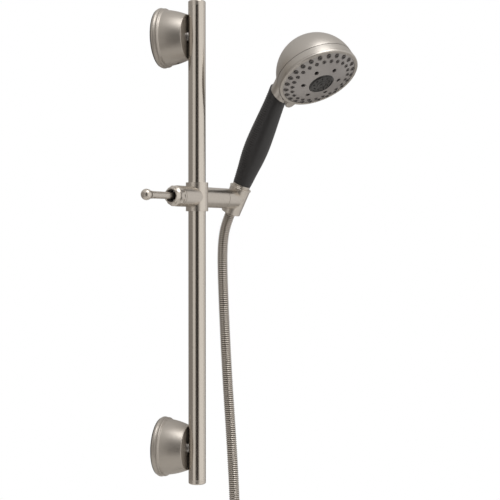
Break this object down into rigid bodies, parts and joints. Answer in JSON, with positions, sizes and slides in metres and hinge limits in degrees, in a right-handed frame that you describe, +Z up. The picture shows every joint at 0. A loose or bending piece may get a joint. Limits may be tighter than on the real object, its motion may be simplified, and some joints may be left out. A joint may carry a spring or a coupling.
{
  "type": "wall bar hand shower",
  "caption": "Hand shower on a wall bar: a height-adjusting, swivelling slider with a locking lever carries a tilting cup, a rubber-gripped spray head and a flexible metal hose.",
  "frame": {"origin": "on the wall plane, midway between the two wall screws", "axes": "+Z up along the bar, -Y out of the wall into the room, +X to the right of someone facing the wall"},
  "size_m": [0.2116, 0.2426, 0.826],
  "materials": {
    "nickel": "warm brushed nickel plating",
    "nickel_shell": "brushed nickel plating on a moulded shell",
    "hose_skin": null,
    "steel": "plain hidden steel",
    "brass": "machined, hidden",
    "grip_rubber": "soft black rubber with fine ribs",
    "seal_rubber": "matt black",
    "face_plastic": "satin warm grey",
    "nozzle_rubber": "dark silicone",
    "insert_plastic": "satin charcoal",
    "acetal": "plain moulded, hidden",
    "strap": "matt black strap"
  },
  "bodies": {
    "rail": {"slide_bar": "nickel", "upper_end_cap": "nickel", "lower_end_cap": "nickel", "upper_bar_insert": "brass", "lower_bar_insert": "brass", "upper_wall_bracket": "steel", "lower_wall_bracket": "steel", "upper_post": "steel", "lower_post": "steel", "upper_flange": "nickel", "lower_flange": "nickel", "upper_flange_gasket": "seal_rubber", "lower_flange_gasket": "seal_rubber", "post_screws": "steel", "flange_set_screws": "steel"},
    "glide": {"upper_bush": "acetal", "lower_bush": "acetal"},
    "slider": {"slider_body": "nickel", "brake_spring": "steel", "lever_yoke": "brass", "lever_pin": "steel", "pivot_screw": "steel", "pivot_washer": "steel", "friction_washer": "acetal"},
    "lever": {"lever_rod": "nickel", "lever_knob": "nickel"},
    "brake": {"brake_shoe": "acetal"},
    "collar": {"tension_collar": "nickel"},
    "cradle": {"cradle": "nickel"},
    "hose_end": {"hose_cone_nut": "nickel", "hose_ferrule": "steel", "hose_washer": "seal_rubber"},
    "handset": {"inlet_nipple": "nickel", "check_valve": "acetal", "flow_restrictor": "acetal", "handle_core": "acetal", "rubber_grip": "grip_rubber", "neck_seal": "seal_rubber", "rear_shell": "nickel_shell", "face_plate": "face_plastic", "nozzle_mat": "nozzle_rubber", "centre_insert": "insert_plastic", "water_plate": "acetal", "water_chamber": "acetal", "face_screw": "steel"},
    "selector": {"selector_ring": "nickel_shell", "diverter_disc": "acetal"},
    "hose": {"hose_tube": "hose_skin", "hose_coil": "hose_skin", "supply_nut": "nickel", "supply_washer": "seal_rubber", "coil_tie": "strap"}
  },
  "joints": [
    {"name": "slider_height", "type": "slide", "parent": "rail", "child": "glide", "axis": [0, 0, 1], "range_m": [-0.268, 0.15], "deforming": ["hose_tube"]},
    {"name": "slider_swivel", "type": "hinge", "parent": "glide", "child": "slider", "pos_m": [0, -0.049, 0.0581], "axis": [0, 0, 1], "range_deg": [-9, 35]},
    {"name": "lever_release", "type": "hinge", "parent": "slider", "child": "lever", "pos_m": [-0.04754, -0.03715, 0.0581], "axis": [0, 0, 1], "range_deg": [0, 12], "stiffness_Nm_per_rad": 0.8},
    {"name": "brake_retract", "type": "slide", "parent": "slider", "child": "brake", "axis": [-0.9703, 0.2419, 0], "range_m": [0, 0.0004]},
    {"name": "collar_turn", "type": "hinge", "parent": "slider", "child": "collar", "pos_m": [-0.04754, -0.03715, 0.0581], "axis": [0.9703, -0.2419, 0], "range_deg": [-90, 90]},
    {"name": "cradle_tilt", "type": "hinge", "parent": "slider", "child": "cradle", "pos_m": [0.08878, -0.07114, 0.0581], "axis": [0.9703, -0.2419, 0], "range_deg": [-15, 35], "deforming": ["hose_tube"]},
    {"name": "handset_lift", "type": "slide", "parent": "cradle", "child": "hose_end", "axis": [-0.1045, -0.4191, 0.9019], "range_m": [0, 0.15], "deforming": ["hose_tube"]},
    {"name": "handset_turn", "type": "hinge", "parent": "hose_end", "child": "handset", "pos_m": [0.08878, -0.07114, 0.0581], "axis": [-0.1045, -0.4191, 0.9019], "range_deg": [-60, 60]},
    {"name": "spray_selector", "type": "hinge", "parent": "handset", "child": "selector", "pos_m": [0.04448, -0.19595, 0.20697], "axis": [-0.3123, -0.4531, -0.8349], "range_deg": [-60, 60]},
    {"name": "hose_hang", "type": "hinge", "parent": "hose_end", "child": "hose", "pos_m": [0.09082, -0.06296, 0.04051], "axis": [0.9703, -0.2419, 0], "range_deg": [-35, 35], "deforming": ["hose_tube"]}
  ],
  "couplings": [
    {"joint": "brake_retract", "follows": "lever_release", "m_per_rad": 0.00143},
    {"joint": "hose_hang", "follows": "cradle_tilt", "ratio": -1}
  ]
}
